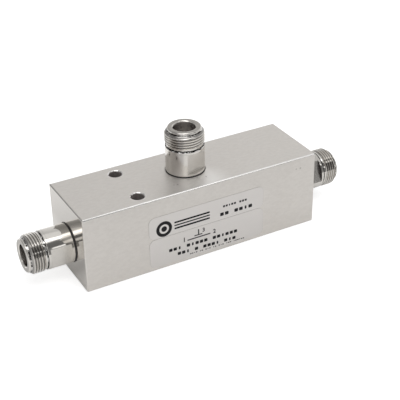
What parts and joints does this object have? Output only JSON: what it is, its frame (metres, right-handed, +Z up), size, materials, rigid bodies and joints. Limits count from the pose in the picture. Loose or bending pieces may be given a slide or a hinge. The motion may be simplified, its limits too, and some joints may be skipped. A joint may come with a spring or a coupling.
{
  "type": "rf power tapper",
  "caption": "Square bar coaxial power tapper with an in-line threaded jack at each end, a tap jack on top and a pair of through holes for screws.",
  "frame": {"origin": "underside of the square bar, below the tap jack's axis and in the middle of the bar's length and depth", "axes": "+X along the bar from the input jack to the output jack, +Z up along the tap jack, -Y out of the face with the labels"},
  "size_m": [0.1404, 0.0321, 0.0507],
  "materials": {
    "housing": "fine machined, satin",
    "jack_plating": "turned brass, bright nickel or white bronze plate",
    "seal_rubber": "black, slightly shiny",
    "insulator": "turned white ptfe, waxy",
    "ring_brass": "turned brass",
    "contact_plating": "turned spring bronze, thin silver plate",
    "line_silver": "turned brass, silver plate",
    "label_film": "satin silver polyester film with dark print"
  },
  "bodies": {
    "root": {"housing": "housing", "input_jack_shell": "jack_plating", "output_jack_shell": "jack_plating", "tap_jack_shell": "jack_plating", "input_seal": "seal_rubber", "output_seal": "seal_rubber", "tap_seal": "seal_rubber", "input_insulator": "insulator", "output_insulator": "insulator", "tap_insulator": "insulator", "input_retaining_ring": "ring_brass", "output_retaining_ring": "ring_brass", "tap_retaining_ring": "ring_brass", "input_contact": "contact_plating", "output_contact": "contact_plating", "tap_contact": "contact_plating", "input_transformer_rod": "line_silver", "output_line_rod": "line_silver", "tap_rod": "line_silver", "tee_junction": "line_silver", "input_support_bead": "insulator", "output_support_bead": "insulator", "upper_label": "label_film", "lower_label": "label_film"}
  },
  "joints": []
}
